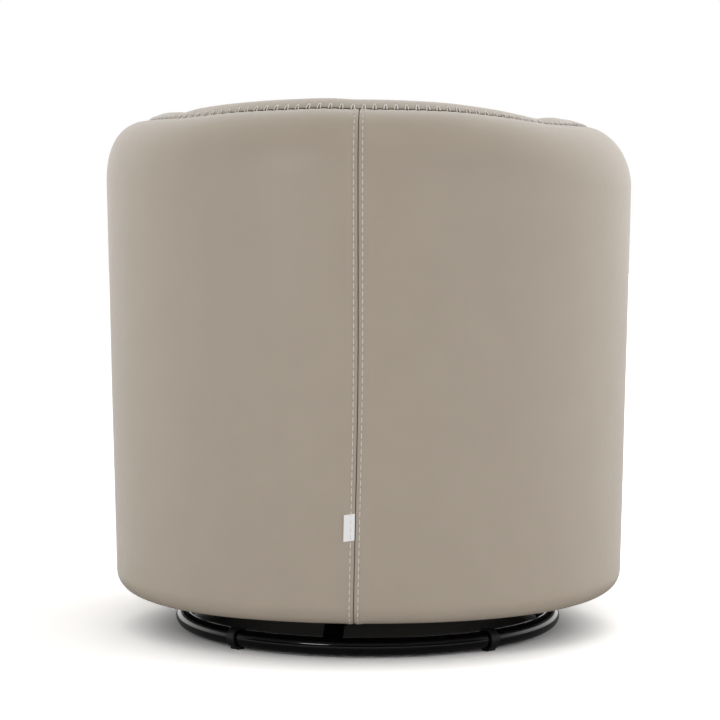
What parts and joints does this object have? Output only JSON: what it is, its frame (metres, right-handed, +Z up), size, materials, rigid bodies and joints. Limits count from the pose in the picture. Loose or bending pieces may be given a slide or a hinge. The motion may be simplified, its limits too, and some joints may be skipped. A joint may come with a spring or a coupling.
{
  "type": "swivel accent chair",
  "caption": "Leather tub chair with a rounded rim and a crowned seat, turning on a ball-bearing swivel above a ring base of steel tube.",
  "frame": {"origin": "on the floor, on the swivel's vertical axis, which is also the middle of the chair's bounding box", "axes": "+Z up; the seat faces -Y and the back is towards +Y; the sitter's left is +X"},
  "size_m": [0.78, 0.78, 0.771],
  "materials": {
    "leather": "smooth taupe upholstery leather, fine grain, soft satin sheen",
    "foam": "upholstery foam",
    "plywood": "bare plywood",
    "fibreboard": "thin fibreboard",
    "webbing": "black elastic webbing",
    "black_cloth": "black non-woven dust cloth",
    "black_enamel": "gloss black powder-coated steel",
    "black_plastic": "satin black moulded plastic",
    "zinc_steel": "zinc-plated pressed steel",
    "white_tape": "white woven tape, bare"
  },
  "bodies": {
    "base": {"base_ring": "black_enamel", "glide_back_left": "black_plastic", "glide_back_right": "black_plastic", "glide_front_left": "black_plastic", "glide_front_right": "black_plastic", "cross_bar_lower": "black_enamel", "cross_bar_upper": "black_enamel", "swivel_lower_plate": "zinc_steel", "bar_rivet_1": "zinc_steel", "bar_rivet_2": "zinc_steel", "bar_rivet_3": "zinc_steel", "bar_rivet_4": "zinc_steel", "king_bolt": "zinc_steel", "king_nut": "zinc_steel"},
    "bearing": {"ball_cage": "zinc_steel"},
    "chair": {"swivel_upper_plate": "zinc_steel", "plate_screw_1": "zinc_steel", "plate_screw_2": "zinc_steel", "plate_screw_3": "zinc_steel", "plate_screw_4": "zinc_steel", "bottom_board": "plywood", "dust_cover": "black_cloth", "post_back": "plywood", "post_rear_left": "plywood", "post_rear_right": "plywood", "post_side_left": "plywood", "post_side_right": "plywood", "post_front_left": "plywood", "post_front_right": "plywood", "back_rail": "plywood", "arm_rail_left": "plywood", "arm_rail_right": "plywood", "seat_frame": "plywood", "front_panel": "plywood", "strap_long_1": "webbing", "strap_long_2": "webbing", "strap_long_3": "webbing", "strap_long_4": "webbing", "strap_cross_1": "webbing", "strap_cross_2": "webbing", "strap_cross_3": "webbing", "outer_backing_left": "fibreboard", "outer_backing_right": "fibreboard", "rim_foam": "foam", "inner_back_pad": "leather", "inner_arm_pad_left": "leather", "inner_arm_pad_right": "leather", "outer_cover_left": "leather", "outer_cover_right": "leather", "arm_facing_left": "leather", "arm_facing_right": "leather", "front_border": "leather", "seat_cushion": "leather", "seam_tag": "white_tape"}
  },
  "joints": [
    {"name": "swivel", "type": "hinge", "parent": "base", "child": "chair", "pos_m": [0, 0, 0.055], "axis": [0, 0, 1], "continuous": true},
    {"name": "cage_turn", "type": "hinge", "parent": "base", "child": "bearing", "pos_m": [0, 0, 0.055], "axis": [0, 0, 1], "continuous": true}
  ],
  "couplings": [
    {"joint": "cage_turn", "follows": "swivel", "ratio": 0.5}
  ]
}
